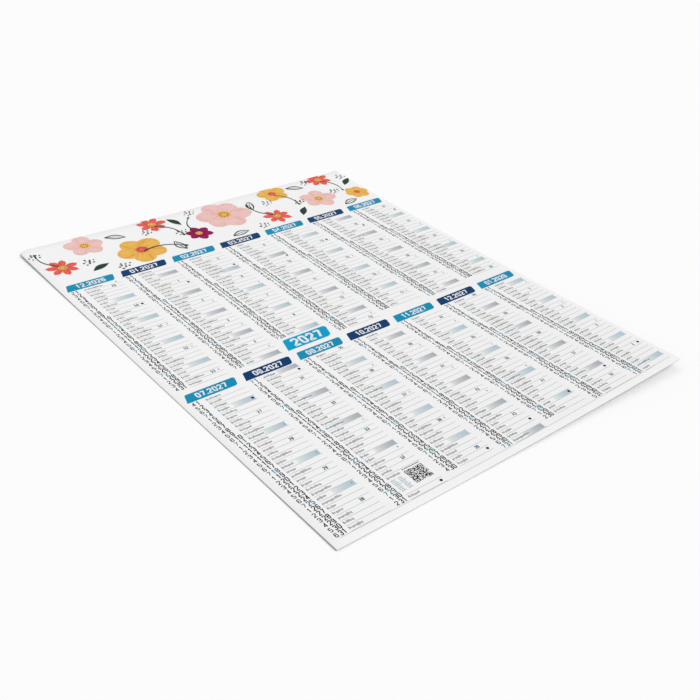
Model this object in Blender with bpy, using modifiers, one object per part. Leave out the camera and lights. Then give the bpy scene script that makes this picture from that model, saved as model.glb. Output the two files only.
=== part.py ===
"""A wall calendar printed on one board, lying face up.

Fourteen month columns stand in two rows of seven under a band of flowers. The board is flat in the
middle and its corners curl up a little, most of all the bottom right one.

X runs across the page, Y up the page and Z out of the print. The origin is at floor level, under the
middle of the board. Lengths are in metres.
"""

import calendar
import math

import bmesh
import bpy
from mathutils import Matrix, Vector
from mathutils.geometry import delaunay_2d_cdt

# Board
BOARD_WIDTH = 0.430
BOARD_HEIGHT = 0.550
BOARD_THICKNESS = 0.0010
WORN_CORNER_RADIUS = 0.011
WORN_CORNER_STEPS = 5

# Curl: how far each corner stands off the floor. A corner's reach is 1 at its tip, a half on the
# diagonal between its neighbours and 0 at the far corner. The curl starts at its start share.
BOTTOM_RIGHT_LIFT = 0.0085
BOTTOM_RIGHT_START_SHARE = 0.58
TOP_LEFT_LIFT = 0.0020
TOP_RIGHT_LIFT = 0.0012
BOTTOM_LEFT_LIFT = 0.0008
SMALL_CURL_START_SHARE = 0.78
GUIDE_SPACING = 0.026

# Page layout
COLUMNS = 7
ROWS = 31
LEFT_MARGIN = 0.0093
RIGHT_MARGIN = 0.0040
COLUMN_GAP = 0.0090
TOP_BAND_HEIGHT = 0.0922
BOTTOM_MARGIN = 0.0092
MONTH_ROW_GAP = 0.0079

# Month tabs and the year tab
TAB_HEIGHT = 0.0124
TAB_SLANT = 0.0038
TAB_CORNER_RADIUS = 0.0030
TAB_CORNER_STEPS = 3
TAB_TO_ROWS_GAP = 0.0007
YEAR_TAB_HEIGHT = 0.0180
YEAR_TAB_TO_TAB_GAP = 0.0066
YEAR_TAB_INSET = 0.0014

# Marks in a month column: the strips stand in from the tab's foot and the bars from its right end
WEEKDAY_STRIP_INSET = 0.0028
WEEKDAY_STRIP_WIDTH = 0.0016
NUMBER_STRIP_INSET = 0.0074
NUMBER_STRIP_WIDTH = 0.0062
SUNDAY_BAR_LENGTH = 0.0195
SUNDAY_BAR_INSET = 0.0022
SUNDAY_BAR_HEIGHT_SHARE = 0.88

# Flowers in the top band
FLOWER_RADIUS = 0.0175
PETAL_NOTCH_SHARE = 0.42
PETAL_STEPS = 4
HEART_RADIUS = 0.0042
HEART_STEPS = 8
LEAF_LENGTH = 0.0230
LEAF_WIDTH = 0.0085
LEAF_STEPS = 4

# The calendar runs from the December before its year to the January after it. Its year tab stands in
# the February column, which has the free rows.
YEAR = 2027
YEAR_TAB_COLUMN = 2

# Where each flower stands in the top band: share of the width from the left, share of the band's
# height from the top, size against FLOWER_RADIUS, number of petals and ink.
FLOWER_SHARES = (
    (0.055, 0.60, 1.10, 7, "coral"),
    (0.150, 0.24, 1.35, 5, "pink"),
    (0.262, 0.66, 1.70, 5, "ochre"),
    (0.352, 0.14, 1.10, 7, "coral"),
    (0.432, 0.64, 0.95, 6, "magenta"),
    (0.548, 0.36, 1.95, 6, "pink"),
    (0.668, 0.74, 1.10, 7, "coral"),
    (0.738, 0.16, 1.20, 5, "ochre"),
    (0.836, 0.60, 1.40, 5, "pink"),
    (0.912, 0.12, 1.10, 7, "coral"),
    (0.962, 0.70, 0.95, 6, "ochre"),
)

# Where each leaf starts, on the same shares, and the way it points in degrees from +X.
LEAF_SHARES = (
    (0.110, 0.84, 20),
    (0.212, 0.17, -25),
    (0.362, 0.92, 100),
    (0.400, 0.10, -70),
    (0.500, 0.93, 8),
    (0.632, 0.44, 70),
    (0.735, 0.90, 50),
    (0.792, 0.12, -25),
    (0.880, 0.93, 15),
    (0.960, 0.44, 40),
)

INKS = {
    "blue": (0.012, 0.270, 0.530),
    "bright_blue": (0.003, 0.350, 0.600),
    "navy": (0.010, 0.040, 0.170),
    "pale_blue": (0.430, 0.640, 0.750),
    "pale_violet": (0.450, 0.450, 0.600),
    "grey": (0.380, 0.380, 0.390),
    "coral": (0.820, 0.130, 0.090),
    "magenta": (0.420, 0.010, 0.110),
    "ochre": (0.830, 0.480, 0.100),
    "pink": (0.860, 0.480, 0.440),
    "green": (0.030, 0.100, 0.060),
}
INK_ROUGHNESS = 0.45
BOARD_COLOUR = (0.860, 0.860, 0.850)
BOARD_ROUGHNESS = 0.55

# Worked out from the sizes above
LEFT_EDGE = -BOARD_WIDTH / 2
RIGHT_EDGE = BOARD_WIDTH / 2
TOP_EDGE = BOARD_HEIGHT / 2
BOTTOM_EDGE = -BOARD_HEIGHT / 2
COLUMN_PITCH = (BOARD_WIDTH - LEFT_MARGIN - RIGHT_MARGIN + COLUMN_GAP) / COLUMNS
TAB_WIDTH = COLUMN_PITCH - COLUMN_GAP
HEAD_HEIGHT = TAB_HEIGHT + TAB_TO_ROWS_GAP
ROWS_HEIGHT = (BOARD_HEIGHT - TOP_BAND_HEIGHT - BOTTOM_MARGIN - MONTH_ROW_GAP) / 2 - HEAD_HEIGHT
ROW_HEIGHT = ROWS_HEIGHT / ROWS
UPPER_TABS_TOP = TOP_EDGE - TOP_BAND_HEIGHT
LOWER_TABS_TOP = UPPER_TABS_TOP - HEAD_HEIGHT - ROWS_HEIGHT - MONTH_ROW_GAP
CORNERS = (
    (1, -1, BOTTOM_RIGHT_LIFT, BOTTOM_RIGHT_START_SHARE),
    (-1, 1, TOP_LEFT_LIFT, SMALL_CURL_START_SHARE),
    (1, 1, TOP_RIGHT_LIFT, SMALL_CURL_START_SHARE),
    (-1, -1, BOTTOM_LEFT_LIFT, SMALL_CURL_START_SHARE),
)


def clear_scene():
    for old in list(bpy.data.objects):
        bpy.data.objects.remove(old, do_unlink=True)


def make_material(name, colour, roughness):
    material = bpy.data.materials.new(name)
    material.use_nodes = True
    shader = material.node_tree.nodes["Principled BSDF"]
    shader.inputs["Base Color"].default_value = (*colour, 1)
    shader.inputs["Roughness"].default_value = roughness
    shader.inputs["Metallic"].default_value = 0
    material.diffuse_color = (*colour, 1)
    return material


def curl(x, y):
    """How far the board stands off the floor at a point of the page."""
    height = 0
    for side_x, side_y, corner_lift, start_share in CORNERS:
        reach = (1 + side_x * x / BOARD_WIDTH + side_y * y / BOARD_HEIGHT) / 2
        run = max(0, (reach - start_share) / (1 - start_share))
        height += corner_lift * run ** 2
    return height


def round_corners(points, radii, steps):
    """Replace each corner of an outline that has a radius by an arc that touches both its sides."""
    outline = []
    for index, (corner, radius) in enumerate(zip(points, radii)):
        if radius == 0:
            outline.append(corner)
            continue
        towards_last = (points[index - 1] - corner).normalized()
        towards_next = (points[(index + 1) % len(points)] - corner).normalized()
        half_angle = towards_last.angle(towards_next) / 2
        middle = (towards_last + towards_next).normalized()
        centre = corner + middle * (radius / math.sin(half_angle))
        turn = math.pi - 2 * half_angle
        for step in range(steps + 1):
            spoke = -middle * radius
            spoke.rotate(Matrix.Rotation(turn * (step / steps - 1 / 2), 2))
            outline.append(centre + spoke)
    return outline


def split_sides(points, spacing):
    """Add points along the sides of an outline, so that it can follow the curl."""
    outline = []
    for index, point in enumerate(points):
        side = points[(index + 1) % len(points)] - point
        parts = max(1, round(side.length / spacing))
        outline.extend(point + side * part / parts for part in range(parts))
    return outline


def rectangle(left, bottom, width, height):
    return [
        Vector((left, bottom)),
        Vector((left + width, bottom)),
        Vector((left + width, bottom + height)),
        Vector((left, bottom + height)),
    ]


def board_outline():
    """The cut edge of the board, anticlockwise, with its top left corner worn round."""
    corners = rectangle(LEFT_EDGE, BOTTOM_EDGE, BOARD_WIDTH, BOARD_HEIGHT)
    return round_corners(corners, (0, 0, 0, WORN_CORNER_RADIUS), WORN_CORNER_STEPS)


def tab_outline(column_left, top, height):
    """A slanted tab: its left foot is sharp, and it is rounder at its right end than at its left."""
    slant = TAB_SLANT * height / TAB_HEIGHT
    bottom = top - height
    corners = [
        Vector((column_left - slant, bottom)),
        Vector((column_left + TAB_WIDTH - slant, bottom)),
        Vector((column_left + TAB_WIDTH, top)),
        Vector((column_left, top)),
    ]
    soft = TAB_CORNER_RADIUS * height / TAB_HEIGHT
    return round_corners(corners, (0, soft, soft, soft / 2), TAB_CORNER_STEPS)


def month_fields(index):
    """The coloured fields of one month: its tab, its two strips of figures and its Sunday bars."""
    months_a_year = 12
    year, months_before = divmod(YEAR * months_a_year - 1 + index, months_a_year)
    month = months_before + 1
    days = calendar.monthrange(year, month)[1]
    row, column = divmod(index, COLUMNS)
    column_left = LEFT_EDGE + LEFT_MARGIN + column * COLUMN_PITCH
    tab_top = (UPPER_TABS_TOP, LOWER_TABS_TOP)[row]
    rows_top = tab_top - HEAD_HEIGHT
    days_height = days * ROW_HEIGHT
    is_odd = column % 2 == 1
    fields = [(tab_outline(column_left, tab_top, TAB_HEIGHT), "navy" if is_odd else "blue")]
    for inset, width in (
        (WEEKDAY_STRIP_INSET, WEEKDAY_STRIP_WIDTH),
        (NUMBER_STRIP_INSET, NUMBER_STRIP_WIDTH),
    ):
        strip_left = column_left - TAB_SLANT + inset
        strip = rectangle(strip_left, rows_top - days_height, width, days_height)
        fields.append((strip, "grey"))
    bar_left = column_left + TAB_WIDTH - SUNDAY_BAR_INSET - SUNDAY_BAR_LENGTH
    bar_height = ROW_HEIGHT * SUNDAY_BAR_HEIGHT_SHARE
    for day in range(1, days + 1):
        if calendar.weekday(year, month, day) == calendar.SUNDAY:
            bar_bottom = rows_top - day * ROW_HEIGHT + (ROW_HEIGHT - bar_height) / 2
            bar = rectangle(bar_left, bar_bottom, SUNDAY_BAR_LENGTH, bar_height)
            fields.append((bar, "pale_violet" if is_odd else "pale_blue"))
    return fields


def year_tab_field():
    """The tall tab that stands in the days that February lacks, over the tab below it."""
    left = LEFT_EDGE + LEFT_MARGIN + YEAR_TAB_COLUMN * COLUMN_PITCH + YEAR_TAB_INSET
    top = LOWER_TABS_TOP + YEAR_TAB_TO_TAB_GAP + YEAR_TAB_HEIGHT
    return tab_outline(left, top, YEAR_TAB_HEIGHT), "bright_blue"


def band_point(x_share, y_share):
    return Vector((LEFT_EDGE + x_share * BOARD_WIDTH, TOP_EDGE - y_share * TOP_BAND_HEIGHT))


def rosette(centre, radius, petals):
    """A flower's outline: the radius swells at each petal and dips between two."""
    outline = []
    for step in range(petals * PETAL_STEPS):
        angle = 2 * math.pi * step / (petals * PETAL_STEPS)
        swell = abs(math.cos(petals * angle / 2))
        reach = radius * (1 - PETAL_NOTCH_SHARE * (1 - swell))
        outline.append(centre + reach * Vector((math.cos(angle), math.sin(angle))))
    return outline


def disc(centre, radius, steps):
    turns = (2 * math.pi * step / steps for step in range(steps))
    return [centre + radius * Vector((math.cos(turn), math.sin(turn))) for turn in turns]


def leaf(start, heading):
    """A pointed oval: two bulging sides between its stalk and its tip."""
    along = Vector((math.cos(heading), math.sin(heading)))
    across = along.orthogonal()
    outline = []
    for side, steps in ((-1, range(LEAF_STEPS)), (1, range(LEAF_STEPS, 0, -1))):
        for step in steps:
            share = step / LEAF_STEPS
            bulge = side * LEAF_WIDTH / 2 * math.sin(math.pi * share)
            outline.append(start + along * LEAF_LENGTH * share + across * bulge)
    return outline


def flower_fields():
    fields = []
    for x_share, y_share, degrees in LEAF_SHARES:
        fields.append((leaf(band_point(x_share, y_share), math.radians(degrees)), "green"))
    for x_share, y_share, size_share, petals, ink in FLOWER_SHARES:
        centre = band_point(x_share, y_share)
        heart_ink = "coral" if ink == "ochre" else "ochre"
        fields.append((rosette(centre, FLOWER_RADIUS * size_share, petals), ink))
        fields.append((disc(centre, HEART_RADIUS * size_share, HEART_STEPS), heart_ink))
    return fields


def guide_points():
    """Loose points inside the board, which carry the curl between the fields."""
    across = round(BOARD_WIDTH / GUIDE_SPACING)
    along = round(BOARD_HEIGHT / GUIDE_SPACING)
    return [
        Vector((LEFT_EDGE + BOARD_WIDTH * i / across, BOTTOM_EDGE + BOARD_HEIGHT * j / along))
        for i in range(1, across)
        for j in range(1, along)
    ]


def page_mesh(fields):
    """The printed face, cut into triangles along every field's outline and lifted by the curl.

    The first field is the board itself. A triangle takes the ink of the last field that holds it.
    """
    points = []
    outlines = []
    for outline, _ in fields:
        fine_outline = split_sides(outline, GUIDE_SPACING)
        outlines.append(list(range(len(points), len(points) + len(fine_outline))))
        points.extend(fine_outline)
    points.extend(guide_points())
    inside_outlines = 1
    merge_distance = 1e-6
    corners, _, triangles, _, _, sources = delaunay_2d_cdt(
        points, [], outlines, inside_outlines, merge_distance
    )
    ink_slots = list(INKS)
    board_slot = len(ink_slots)
    sheet = bmesh.new()
    vertices = [
        sheet.verts.new((x, y, BOARD_THICKNESS + curl(x, y))) for x, y in corners
    ]
    for triangle, held_by in zip(triangles, sources):
        if 0 not in held_by:
            continue
        face = sheet.faces.new([vertices[corner] for corner in triangle])
        ink = fields[max(held_by)][1]
        face.material_index = ink_slots.index(ink) if ink else board_slot
    loose = [vertex for vertex in sheet.verts if not vertex.link_faces]
    bmesh.ops.delete(sheet, geom=loose, context="VERTS")
    mesh = bpy.data.meshes.new("calendar_board")
    sheet.to_mesh(mesh)
    sheet.free()
    return mesh


def make_board(collection):
    """The whole calendar: the printed face, given its thickness downwards with a plain back."""
    fields = [(board_outline(), None)]
    for index in range(2 * COLUMNS):
        fields.extend(month_fields(index))
    fields.append(year_tab_field())
    fields.extend(flower_fields())
    mesh = page_mesh(fields)
    for ink, colour in INKS.items():
        mesh.materials.append(make_material(ink + "_ink", colour, INK_ROUGHNESS))
    mesh.materials.append(make_material("white_board", BOARD_COLOUR, BOARD_ROUGHNESS))
    board = bpy.data.objects.new("calendar_board", mesh)
    collection.objects.link(board)
    wall = board.modifiers.new("thickness", "SOLIDIFY")
    wall.thickness = BOARD_THICKNESS
    wall.offset = -1
    wall.material_offset = len(mesh.materials)
    wall.material_offset_rim = len(mesh.materials)
    return board


def main():
    clear_scene()
    collection = bpy.data.collections.new("wall_calendar")
    bpy.context.scene.collection.children.link(collection)
    make_board(collection)


main()
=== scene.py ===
"""A printed wall calendar lying face up: the board and every layer of ink on it.

The page is drawn flat at z = 0, with X across it and Y up it, and each piece is then laid on the board,
whose corners curl up a little. Lengths are in metres.
"""

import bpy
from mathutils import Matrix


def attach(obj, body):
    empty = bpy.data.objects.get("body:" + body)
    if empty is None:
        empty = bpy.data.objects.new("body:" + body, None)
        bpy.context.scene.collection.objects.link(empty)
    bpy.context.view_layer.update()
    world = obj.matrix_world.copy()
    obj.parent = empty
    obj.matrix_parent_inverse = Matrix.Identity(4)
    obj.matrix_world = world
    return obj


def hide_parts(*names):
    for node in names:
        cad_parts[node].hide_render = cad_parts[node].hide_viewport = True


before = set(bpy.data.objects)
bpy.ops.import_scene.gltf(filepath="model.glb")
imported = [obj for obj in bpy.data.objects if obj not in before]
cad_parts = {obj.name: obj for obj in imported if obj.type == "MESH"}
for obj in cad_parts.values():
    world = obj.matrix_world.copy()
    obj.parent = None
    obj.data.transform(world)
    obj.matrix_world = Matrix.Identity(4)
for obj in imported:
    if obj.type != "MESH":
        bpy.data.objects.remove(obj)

import calendar
import datetime
import math
import random

import bmesh
import bpy
import numpy as np
from bpy.props import FloatProperty, FloatVectorProperty, IntProperty, PointerProperty
from bpy.types import Operator, Panel, PropertyGroup
from mathutils import Matrix, Vector

bl_info = {
    "name": "Wall calendar",
    "version": (1, 0, 0),
    "blender": (4, 5, 0),
    "location": "3D View > Sidebar > Calendar",
    "description": "Builds a printed wall calendar with curled corners, lying on a pale floor",
    "category": "Add Mesh",
}

NODE = "calendar_board"
BODY = "root"
COLUMNS = 7
ROWS = 31
MONTHS = 2 * COLUMNS

# Flat print is cut along a net, so that it bends with the board, and it ends just inside the board's edge
NET_SPACING = 0.012
MERGE_DISTANCE = 1e-6
TRIM_CLEARANCE = 0.0002

# How smooth the board is: steps round its worn corner and its cut edge, and the angle that shades as round
WORN_CORNER_SEGMENTS = 6
EDGE_SEGMENTS = 2
SMOOTH_BELOW = math.radians(40)

# Which of the board's materials its cut edge and its back take, after the face's
EDGE_MATERIAL = 1
BACK_MATERIAL = 2

# How each tab's corners are rounded: steps, and the left one's radius against the others'
TAB_CORNER_SEGMENTS = 5
TAB_LEFT_ROUND_SHARE = 0.5

# A corner's vertex is looked for within this share of its radius, and it is rounded to an even arc
CORNER_REACH_SHARE = 0.1
ARC_PROFILE = 0.5

# How far each layer of ink stands off the board
TINT_LIFT = 0.00003
RULE_LIFT = 0.00004
PRINT_LIFT = 0.00006
KNOCKOUT_LIFT = 0.00009
OVERLAP_STEP = 0.00001
BRUSH_LIFT = 0.00026

# Places in a month column, from the left end of its tab
WEEKDAYS_LEFT = -0.0018
DAYS_LEFT = 0.0028
NAMES_LEFT = 0.0122
RULES_LEFT = 0.0120
RULES_RIGHT_GAP = 0.0008
WEEK_FIGURES_LEFT = 0.0388
MOONS_LEFT = 0.0474
PATTERN_LEFT = 0.0292

# The square pattern takes the place of some days' rules, and the small print beside it that of some words.
# The first month is month 0.
PATTERN_MONTH = 8
PATTERN_DAYS = range(27, 30)
SMALL_PRINT_DAYS = range(28, 31)

# The square pattern: cells along a corner's ring, and how often a cell elsewhere is dark
CORNER_CELLS = 6
DARK_CHANCE = 0.58

# Made-up words: letters in each, and a letter's width, top, foot and gap against the height of a letter
SHORT_WORDS = (2, 2, 2)
LONG_WORDS = 3 * (4, 5, 6, 7, 8, 11)
SMALL_WORDS = (6, 7, 8, 9)
LETTER_WIDTH_SHARES = (0.48, 0.72)
LETTER_TOP_SHARES = (1.0, 1.0, 1.0, 1.45)
LETTER_FOOT_SHARES = (0.0, 0.0, 0.0, 0.35)
LETTER_GAP_SHARE = 0.22
LONG_WORD_START_SHARE = 1.8

# The small print beside the pattern: how many lines, and where each of a line's words starts
SMALL_LINES = 8
SMALL_WORD_STARTS = (0, 0.0075)

# The days of the new moons, from the last one before the first month to the first one after the last
NEW_MOONS = (
    (2026, 11, 9), (2026, 12, 9), (2027, 1, 7), (2027, 2, 6), (2027, 3, 8), (2027, 4, 7), (2027, 5, 6),
    (2027, 6, 4), (2027, 7, 4), (2027, 8, 2), (2027, 8, 31), (2027, 9, 30), (2027, 10, 29), (2027, 11, 28),
    (2027, 12, 27), (2028, 1, 26), (2028, 2, 25),
)
PHASES = 4

# A figure's usual width and the gap to the next one, against its height
FIGURE_WIDTH_SHARE = 0.50
FIGURE_GAP_SHARE = 0.09

# Each figure is drawn along its strokes. Points are shares of its width and height.
FIGURE_STROKES_SHARES = {
    "0": [
        [(0, 0.12), (0.24, 0), (0.76, 0), (1, 0.12), (1, 0.88), (0.76, 1), (0.24, 1), (0, 0.88), (0, 0.12)],
    ],
    "1": [[(0.12, 0.80), (0.56, 1), (0.56, 0)]],
    "2": [[(0, 0.78), (0, 0.88), (0.24, 1), (0.76, 1), (1, 0.88), (1, 0.64), (0, 0.10), (0, 0), (1, 0)]],
    "3": [
        [(0, 0.80), (0, 0.88), (0.24, 1), (0.76, 1), (1, 0.88), (1, 0.64), (0.74, 0.52), (0.30, 0.52)],
        [(0.74, 0.52), (1, 0.40), (1, 0.12), (0.76, 0), (0.24, 0), (0, 0.12), (0, 0.20)],
    ],
    "4": [[(0.74, 0), (0.74, 1), (0, 0.32), (0, 0.26), (1.10, 0.26)]],
    "5": [
        [(0.96, 1), (0.02, 1), (0.02, 0.56), (0.76, 0.56), (1, 0.44)],
        [(1, 0.46), (1, 0.12), (0.76, 0), (0.24, 0), (0, 0.12), (0, 0.20)],
    ],
    "6": [
        [(1, 0.80), (1, 0.88), (0.76, 1), (0.24, 1), (0, 0.88), (0, 0.12), (0.24, 0), (0.76, 0), (1, 0.12)],
        [(1, 0.10), (1, 0.44), (0.76, 0.56), (0.10, 0.56)],
    ],
    "7": [[(0, 1), (1, 1), (1, 0.86), (0.36, 0)]],
    "8": [
        [
            (0.24, 0.53), (0, 0.42), (0, 0.12), (0.24, 0), (0.76, 0), (1, 0.12), (1, 0.42), (0.76, 0.53),
            (0.24, 0.53),
        ],
        [(0.24, 0.53), (0, 0.64), (0, 0.88), (0.24, 1), (0.76, 1), (1, 0.88), (1, 0.64), (0.76, 0.53)],
    ],
    "9": [
        [(0, 0.20), (0, 0.12), (0.24, 0), (0.76, 0), (1, 0.12), (1, 0.88), (0.76, 1), (0.24, 1), (0, 0.88)],
        [(0, 0.90), (0, 0.56), (0.24, 0.44), (0.90, 0.44)],
    ],
}
DOT = "."

# Where each flower stands in the top band: share of the width from the left, share of the band's height
# from the top, size against the flower radius, number of petals and ink.
FLOWER_SHARES = (
    (0.055, 0.60, 1.10, 7, "coral"),
    (0.150, 0.24, 1.35, 5, "pink"),
    (0.262, 0.66, 1.70, 5, "ochre"),
    (0.352, 0.14, 1.10, 7, "coral"),
    (0.432, 0.64, 0.95, 6, "magenta"),
    (0.548, 0.36, 1.95, 6, "pink"),
    (0.668, 0.74, 1.10, 7, "coral"),
    (0.738, 0.16, 1.20, 5, "ochre"),
    (0.836, 0.60, 1.40, 5, "pink"),
    (0.912, 0.12, 1.10, 7, "coral"),
    (0.962, 0.70, 0.95, 6, "ochre"),
)

# Where each leaf starts, on the same shares, and the way it points in degrees from +X
LEAF_SHARES = (
    (0.110, 0.84, 20),
    (0.212, 0.17, -25),
    (0.362, 0.92, 100),
    (0.400, 0.10, -70),
    (0.500, 0.93, 8),
    (0.632, 0.44, 70),
    (0.735, 0.90, 50),
    (0.792, 0.12, -25),
    (0.880, 0.93, 15),
    (0.960, 0.44, 40),
)

# Where each spray of dots stands, on the same shares
SPRAY_SHARES = (
    (0.020, 0.22), (0.120, 0.62), (0.185, 0.90), (0.318, 0.30), (0.395, 0.50), (0.470, 0.10),
    (0.605, 0.88), (0.690, 0.36), (0.775, 0.55), (0.865, 0.10), (0.905, 0.52), (0.985, 0.18),
)

# Where each stem starts, on the same shares, the way it points in degrees from +X, and its length against
# the length of a leaf
STEM_SHARES = (
    (0.052, 0.55, 110, 1.55),
    (0.262, 0.70, -15, 2.05),
    (0.352, 0.20, -62, 1.70),
    (0.432, 0.60, 75, 1.60),
    (0.668, 0.70, 112, 1.75),
    (0.738, 0.22, -70, 1.55),
    (0.912, 0.16, -75, 1.60),
)

# A brushed line is shaped at this many even steps, and a leaf or a stem bows by this share of its length
BRUSH_STEPS = 14
LEAF_BOW_SHARE = 0.05
STEM_BOW_SHARE = 0.16

# One leaf in three is filled, from the first on
FILLED_LEAF_EVERY = 3

# Widths along a brushed line, against its full width, and the length of a midrib against the leaf's
LEAF_END_WIDTH_SHARE = 0.06
RIM_END_WIDTH_SHARE = 0.45
RIM_SWELL_SHARE = 0.50
MIDRIB_LENGTH_SHARE = 0.86
MIDRIB_START_WIDTH_SHARE = 0.8
MIDRIB_TAPER_SHARE = 0.5
STEM_START_WIDTH_SHARE = 1.15
STEM_TAPER_SHARE = 0.65

# The bud at a stem's tip: its sides, its length and width against two widths of the stem, and its turn
BUD_SIDES = 14
BUD_SHARES = (1.35, 0.85)
BUD_TURN = 0.45

# A spray: its dots stand on a spiral, which is squashed from top to bottom
SPRAY_DOTS = 9
SPRAY_DOT_SIDES = 12
SPRAY_DOT_RADIUS = 0.0012
SPRAY_DOT_SIZE_SHARES = (0.7, 1.15)
SPRAY_TURN = 2.4
SPRAY_REACH = 0.0027
SPRAY_REACH_SHARES = (0.9, 1.1)
SPRAY_START = 0.3
SPRAY_SQUASH_SHARE = 0.8

# How deep the wall is drawn that a stroke is cut from, and the sides of a moon's disc
STROKE_WALL = 0.01
DISC_SIDES = 20

# How each ink's petals are shaped: width, and how far the tip and the foot are pinched
PETAL_SHARES = {
    "coral": (0.46, 0.45, 0.80),
    "ochre": (0.90, 1.00, 0.80),
    "pink": (0.84, 0.95, 0.80),
    "magenta": (0.70, 0.90, 0.72),
}

# Where a petal is pinched, as shares of its length: beyond each tip share and before each foot share
PETAL_SIDES = 28
PETAL_TIP_SHARES = (0.82, 0.92)
PETAL_FOOT_SHARES = (0.42, 0.24)

# How uneven the petals of a flower are: their turn in radians, and their length
PETAL_TURN_SLACK = 0.09
PETAL_SIZE_SHARES = (0.90, 1.0)

# Every second flower starts this many steps higher, so that two that meet don't share a height
FLOWER_LAYER_STEPS = 8

# The middle of a flower, and the ring of seeds on it, in shares of the middle's radius
HEART_SIDES = 24
SEEDS = 9
SEED_SIDES = 10
SEED_RADIUS_SHARE = 0.13
SEED_RING_SHARE = 0.62

# The paint of each ink's petals and of the filled leaves: how well it covers, and its deep tone
PAINTS = {
    "coral": (1.04, (0.560, 0.050, 0.050)),
    "ochre": (1.04, (0.640, 0.300, 0.040)),
    "pink": (0.82, (0.720, 0.300, 0.270)),
    "magenta": (1.04, (0.170, 0.002, 0.050)),
    "green": (1.05, (0.010, 0.035, 0.022)),
}

# How well a plain ink covers the board, and the ink of the line at the foot
FULL_COVER = 1.02
THIN_COVER = 0.60

# The patches of each finish: how wide they are in metres, or in shares of a petal's or a leaf's length
# for the bristles, and how fine their detail is
GRAINS = {
    "white_clouds": (0.09, 3.0),
    "white_fibres": (0.0007, 4.0),
    "face_fibres": (0.0005, 4.0),
    "face_gloss": (0.004, 2.0),
    "edge_layers": (0.0006, 3.0),
    "edge_nicks": (0.0012, 2.0),
    "back_pulp": (0.0022, 5.0),
    "back_clouds": (0.05, 3.0),
    "ink_film": (0.0009, 4.0),
    "ink_clouds": (0.02, 2.0),
    "paint_bristles": (0.42, 3.0),
    "paint_washes": (0.011, 2.0),
    "paint_film": (0.0008, 4.0),
    "floor_tooth": (0.004, 3.0),
}

# How rough each finish is where its patches are at 0, and how much rougher where they are at 1
ROUGHNESSES = {
    "face": (0.38, 0.12),
    "edge": (0.70, 0.20),
    "back": (0.74, 0.15),
    "ink": (0.34, 0.16),
    "tint": (0.36, 0.14),
    "paint": (0.40, 0.18),
    "floor": (0.92, 0.05),
}

# How deep the relief of each finish is
RELIEFS = {
    "face": 0.00001,
    "edge": 0.00005,
    "back": 0.00004,
    "ink": 0.000008,
    "tint": 0.000008,
    "paint": 0.00001,
    "floor": 0.00002,
}

# How strongly the coated face and the matt finishes shine
COATED_GLOSS = 0.5
MATT_GLOSS = 0.03

# The middle of a noise, whose values run from 0 to 1
NOISE_MIDDLE = 0.5

# How wide the floor is, and from where on the camera sees
FLOOR_SIDE = 16
CLIP_START = 0.01


def length(name, default, description):
    return FloatProperty(name=name, description=description, default=default, unit="LENGTH", precision=4)


def share(name, default, description):
    return FloatProperty(name=name, description=description, default=default, min=0, max=1, subtype="FACTOR")


def angle(name, degrees, description):
    return FloatProperty(
        name=name, description=description, default=math.radians(degrees), unit="ROTATION", subtype="ANGLE"
    )


def colour(name, default, description):
    return FloatVectorProperty(
        name=name, description=description, default=default, size=3, min=0, max=1, subtype="COLOR"
    )


class CALENDAR_PG_board(PropertyGroup):
    """Sizes of the board and how far its corners curl."""

    width: length("Width", 0.430, "Across the page")
    height: length("Height", 0.550, "Up the page")
    thickness: length("Thickness", 0.0010, "Of the card")
    edge_round: length("Edge rounding", 0.00015, "Of the cut edge, above and below")
    worn_corner: length("Worn corner", 0.011, "Radius of the blunt corner at the top left")
    bottom_right_lift: length("Bottom right lift", 0.0085, "How far this corner stands off the floor")
    bottom_right_start: share("Bottom right start", 0.58, "Where this corner's curl starts")
    top_left_lift: length("Top left lift", 0.0020, "How far this corner stands off the floor")
    top_right_lift: length("Top right lift", 0.0012, "How far this corner stands off the floor")
    bottom_left_lift: length("Bottom left lift", 0.0008, "How far this corner stands off the floor")
    small_start: share("Small curl start", 0.78, "Where the curl of the other corners starts")

    def curl(self, x, y):
        """How far the board stands off the floor at points of the page."""
        height = 0
        for side_x, side_y, lift, start in (
            (1, -1, self.bottom_right_lift, self.bottom_right_start),
            (-1, 1, self.top_left_lift, self.small_start),
            (1, 1, self.top_right_lift, self.small_start),
            (-1, -1, self.bottom_left_lift, self.small_start),
        ):
            reach = (1 + side_x * x / self.width + side_y * y / self.height) / 2
            run = np.maximum(0, (reach - start) / (1 - start))
            height = height + lift * run ** 2
        return height


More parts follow.
